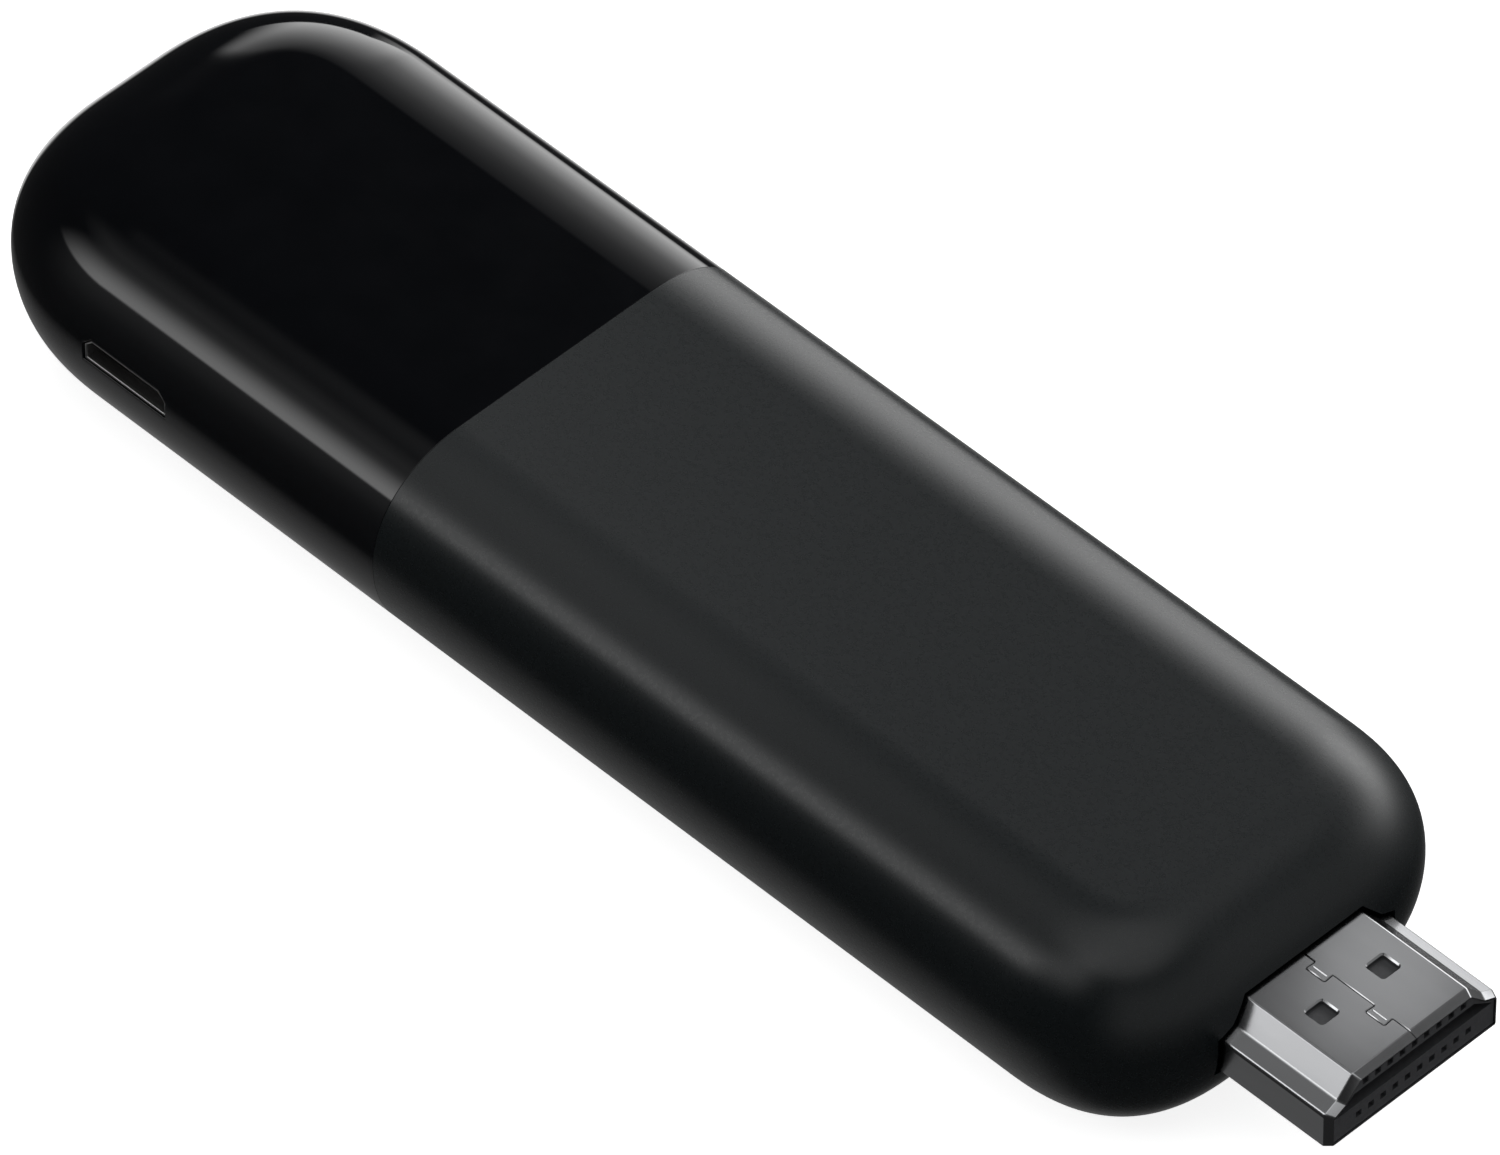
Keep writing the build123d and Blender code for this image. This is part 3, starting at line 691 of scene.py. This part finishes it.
def makeFloor():
    clearSelection()
    bpy.ops.mesh.primitive_circle_add(vertices=64, radius=floorLook["radius"], fill_type="NGON")
    floor = bpy.context.active_object
    floor.name = "floor"
    made = newMaterial("whiteFloor", floorLook["colour"], floorLook["roughness"], 0.0)
    tree = made.node_tree
    shader = tree.nodes["Principled BSDF"]
    output = tree.nodes["Material Output"]
    rays = addNode(tree, "LightPath")
    side = addNode(tree, "NewGeometry")
    glow = addNode(tree, "Emission", {"Strength": floorLook["glow"]})
    # only the camera sees the glow
    glowing = addNode(tree, "AddShader")
    above = addNode(tree, "MixShader")
    tree.links.new(rays.outputs["Is Camera Ray"], above.inputs["Fac"])
    tree.links.new(shader.outputs["BSDF"], glowing.inputs[0])
    tree.links.new(glow.outputs["Emission"], glowing.inputs[1])
    tree.links.new(shader.outputs["BSDF"], above.inputs[1])
    tree.links.new(glowing.outputs["Shader"], above.inputs[2])
    # gloss and clear pieces see the studio through the floor, and so does a camera below it
    through = calculate(tree, "MAXIMUM", rays.outputs["Is Glossy Ray"], rays.outputs["Is Transmission Ray"])
    through = calculate(tree, "MAXIMUM", through, side.outputs["Backfacing"])
    clear = addNode(tree, "BsdfTransparent")
    whole = addNode(tree, "MixShader")
    tree.links.new(through, whole.inputs["Fac"])
    tree.links.new(above.outputs["Shader"], whole.inputs[1])
    tree.links.new(clear.outputs["BSDF"], whole.inputs[2])
    tree.links.new(whole.outputs["Shader"], output.inputs["Surface"])
    floor.data.materials.append(made)


# what the studio looks like from the object: pairs of elevation, in degrees, and brightness
# directions are in degrees round from +X, and a window is (starts, full, full, ends)
studio = {
    "dim": 0.03,  # brightness between the boxes
    "top": 4.5,  # no box is brighter
    # right: one long box beside the stick, a brighter one towards its rear and one ahead of it
    "longBox": [(-13, 0.0), (-10, 1.6), (-6, 2.35), (2, 2.2), (10, 1.85), (15, 1.42), (20, 1.0), (25, 0.8),
                (30, 0.57), (35, 0.36), (42, 0.19), (46, 0.1)],
    "rearBox": [(4, 3.5), (11, 3.25), (16, 2.95), (20, 2.6), (25, 2.05), (30, 1.5), (34, 1.02), (38, 0.65),
                (42, 0.2), (46, 0.06)],
    "rightSide": (0.487, 0.51),  # share of +Y in a direction, where the two right boxes begin
    "rearTurn": 0.512,  # share of -X, where the rear box begins to take over from the long one
    "rearTurnRates": (36.0, 7.7),  # how fast it does so, at first and then
    "rearTurnKnee": 0.51,
    "rearEdge": (-0.57, 0.05),  # share of X and of Z, the bend of its lower edge
    "rearEdgeSlopes": (-0.5, -2.9),  # behind the bend and ahead of it
    "rearEdgeSoft": (-0.01, 0.015),
    "rearFade": (-0.81, -0.69),  # share of X, the soft rear end of the rear box
    "atFront": (-0.47, -0.45),  # share of X, where the front box takes over
    "frontBox": [(-30, 0.03), (-12, 0.15), (0, 0.6), (8, 1.6), (15, 3.4), (24, 4.4), (32, 3.0), (38, 1.4),
                 (44, 0.35), (60, 0.05)],
    "frontBoxWindow": (44, 106, 130, 150),
    # left: a box that is brightest at its lower edge, a faint glow over it and a high, narrow box ahead of it
    "leftBox": [(-30, 0.0), (-10, 0.03), (3, 0.08), (20, 0.22), (23.6, 0.25), (25.5, 3.1), (31, 2.9),
                (36, 2.3), (41, 1.5), (45, 0.7), (49, 0.25), (54, 0.0)],
    "leftBoxWindow": (-156, -122, -122, -116),
    "leftGlow": [(43, 0.0), (52, 0.25), (60, 0.16), (75, 0.1)],
    "leftGlowWindow": (-178, -145, -122, -116),
    "highBox": [(24, 0.0), (38, 0.5), (46, 1.0), (56, 0.9), (66, 0.5), (80, 0.2)],
    "highBoxWindow": (-130, -110, -98, -76),
    # ahead, above and below
    "frontFill": [(-30, 0.0), (-6, 0.12), (10, 0.3), (40, 0.3), (52, 0.12), (62, 0.0)],
    "frontFillWindow": (-70, -40, 60, 110),
    "above": [(58, 0.0), (66, 0.7), (80, 0.8)],
    "below": [(-62, 0.2), (-54, 0.18), (-46, 0.12), (-38, 0.0)],
    "belowFade": (0.0, -0.35),  # share of X, it is there towards the rear only
    # low behind the stick as the camera sees it, for the thin light line along the outline
    "rim": [(-42, 0.0), (-36, 1.2), (-28, 1.0), (-20, 0.0)],
    "rimWindow": (122, 132, 152, 162),
}


def brightnessRamp(tree, degrees, stops):
    share = addNode(tree, "MapRange", {"From Min": -90, "From Max": 90})
    tree.links.new(degrees, share.inputs["Value"])
    ramp = addNode(tree, "ValToRGB")
    elements = ramp.color_ramp.elements
    while len(elements) < len(stops):
        elements.new(0.5)
    for element, (angle, brightness) in zip(elements, stops):
        level = brightness / studio["top"]
        element.position = angle / 180 + 0.5
        element.color = (level, level, level, 1)
    tree.links.new(share.outputs["Result"], ramp.inputs["Fac"])
    return calculate(tree, "MULTIPLY", ramp.outputs["Color"], studio["top"])


def fade(tree, value, outside, inside):
    # 0 outside, 1 inside, soft between
    limits = {"From Min": outside, "From Max": inside}
    made = addNode(tree, "MapRange", limits, interpolation_type="SMOOTHSTEP")
    tree.links.new(value, made.inputs["Value"])
    return made.outputs["Result"]


def makeStudio():
    world = bpy.data.worlds.new("studio")
    bpy.context.scene.world = world
    world.use_nodes = True
    tree = world.node_tree
    background = tree.nodes["Background"]
    place = addNode(tree, "TexCoord")
    parts = addNode(tree, "SeparateXYZ")
    tree.links.new(place.outputs["Generated"], parts.inputs["Vector"])
    x, y, z = parts.outputs["X"], parts.outputs["Y"], parts.outputs["Z"]
    perRadian = math.degrees(1)
    elevation = calculate(tree, "MULTIPLY", calculate(tree, "ARCSINE", z), perRadian)
    azimuth = calculate(tree, "MULTIPLY", calculate(tree, "ARCTAN2", y, x), perRadian)

    def times(*values):
        product = values[0]
        for value in values[1:]:
            product = calculate(tree, "MULTIPLY", product, value)
        return product

    def elsewhere(value):
        return calculate(tree, "SUBTRACT", 1.0, value)

    def byElevation(name):
        return brightnessRamp(tree, elevation, studio[name])

    def box(name):
        starts, full, still, ends = studio[name + "Window"]
        width = times(fade(tree, azimuth, starts, full), fade(tree, azimuth, ends, still))
        return times(byElevation(name), width)

    onRight = fade(tree, y, *studio["rightSide"])
    atFront = fade(tree, x, *studio["atFront"])
    # the rear box takes over quickly at first, then slowly
    quick, slow = studio["rearTurnRates"]
    behind = calculate(tree, "SUBTRACT", times(x, -1.0), studio["rearTurn"])
    later = calculate(tree, "MULTIPLY_ADD", behind, slow, studio["rearTurnKnee"])
    atRear = calculate(tree, "MINIMUM", times(behind, quick), later)
    atRear = calculate(tree, "MAXIMUM", calculate(tree, "MINIMUM", atRear, 1.0), 0.0)
    # its lower edge is bent
    bendX, bendZ = studio["rearEdge"]
    pastBend = calculate(tree, "SUBTRACT", x, bendX)
    rises = [calculate(tree, "MULTIPLY_ADD", pastBend, slope, bendZ) for slope in studio["rearEdgeSlopes"]]
    overEdge = calculate(tree, "SUBTRACT", z, calculate(tree, "MINIMUM", *rises))
    overEdge = fade(tree, overEdge, *studio["rearEdgeSoft"])
    shapes = [
        times(byElevation("longBox"), elsewhere(atRear), elsewhere(atFront), onRight),
        times(byElevation("rearBox"), overEdge, atRear, onRight, fade(tree, x, *studio["rearFade"])),
        times(box("frontBox"), atFront),
        box("leftBox"),
        box("leftGlow"),
        box("highBox"),
        box("frontFill"),
        byElevation("above"),
        times(byElevation("below"), fade(tree, x, *studio["belowFade"])),
        box("rim"),
    ]
    total = studio["dim"]
    for shape in shapes:
        total = calculate(tree, "ADD", shape, total)
    # the camera sees plain white instead
    rays = addNode(tree, "LightPath")
    seen = addNode(tree, "Mix", {"B": 1.0}, data_type="FLOAT")
    tree.links.new(rays.outputs["Is Camera Ray"], seen.inputs["Factor"])
    tree.links.new(total, seen.inputs["A"])
    tree.links.new(seen.outputs["Result"], background.inputs["Strength"])
    background.inputs["Color"].default_value = (1, 1, 1, 1)


lamps = {
    # lifts the plain colours only: nothing glossy mirrors it
    "overheadLamp": {
        "place": (-0.05, 0.02, 0.17),
        "aim": (0.01, 0, 0.014),
        "size": (0.08, 0.08),
        "power": 0.035,
        "inGloss": False,
        "lights": None,
    },
    # a small card over the plug, at the place that the plug's upper face mirrors
    "plugCard": {
        "place": (0.0224, 0.0318, 0.053),
        "aim": (0.0515, 0.003, 0.01),
        "size": (0.009, 0.01),
        "power": 0.00016,
        "inGloss": True,
        "lights": plugShell,
    },
    # a weak panel near the rear, for the sleeve, which mirrors less and less of it towards the front
    "sleeveSheen": {
        "place": (-0.068, -0.004, 0.1),
        "aim": (0.01, 0, 0.014),
        "size": (0.12, 0.06),
        "power": 0.006,
        "inGloss": True,
        "lights": sleeve,
    },
}


def makeLamps():
    for name, settings in lamps.items():
        turn = (Vector(settings["aim"]) - Vector(settings["place"])).to_track_quat("-Z", "Y")
        bpy.ops.object.light_add(type="AREA", location=settings["place"], rotation=turn.to_euler())
        lamp = bpy.context.active_object
        lamp.name = name
        lamp.data.shape = "RECTANGLE"
        lamp.data.size, lamp.data.size_y = settings["size"]
        lamp.data.energy = settings["power"]
        lamp.visible_glossy = settings["inGloss"]
        lamp.visible_camera = False
        if settings["lights"]:
            # this one lights a single piece
            lit = bpy.data.collections.new(name + "Lights")
            lit.objects.link(settings["lights"])
            lamp.light_linking.receiver_collection = lit


# fitted to the outline, the seam and the plug's corners in the photo
shot = {
    "place": (0.53517, -0.52960, 0.79866),
    "azimuth": 45.3,  # degrees round from looking along +Y
    "elevation": 46.418,
    "lens": 449.16,
    "sensor": 36.0,
    "nearest": 0.01,
}


def makeCamera():
    turn = (math.radians(90 - shot["elevation"]), 0, math.radians(shot["azimuth"]))
    bpy.ops.object.camera_add(location=shot["place"], rotation=turn)
    camera = bpy.context.active_object
    camera.data.lens = shot["lens"]
    camera.data.sensor_width = shot["sensor"]
    camera.data.clip_start = shot["nearest"]
    bpy.context.scene.camera = camera


makeFloor()
makeStudio()
makeLamps()
makeCamera()
bpy.context.scene.view_settings.view_transform = "Standard"
print("studio ready")
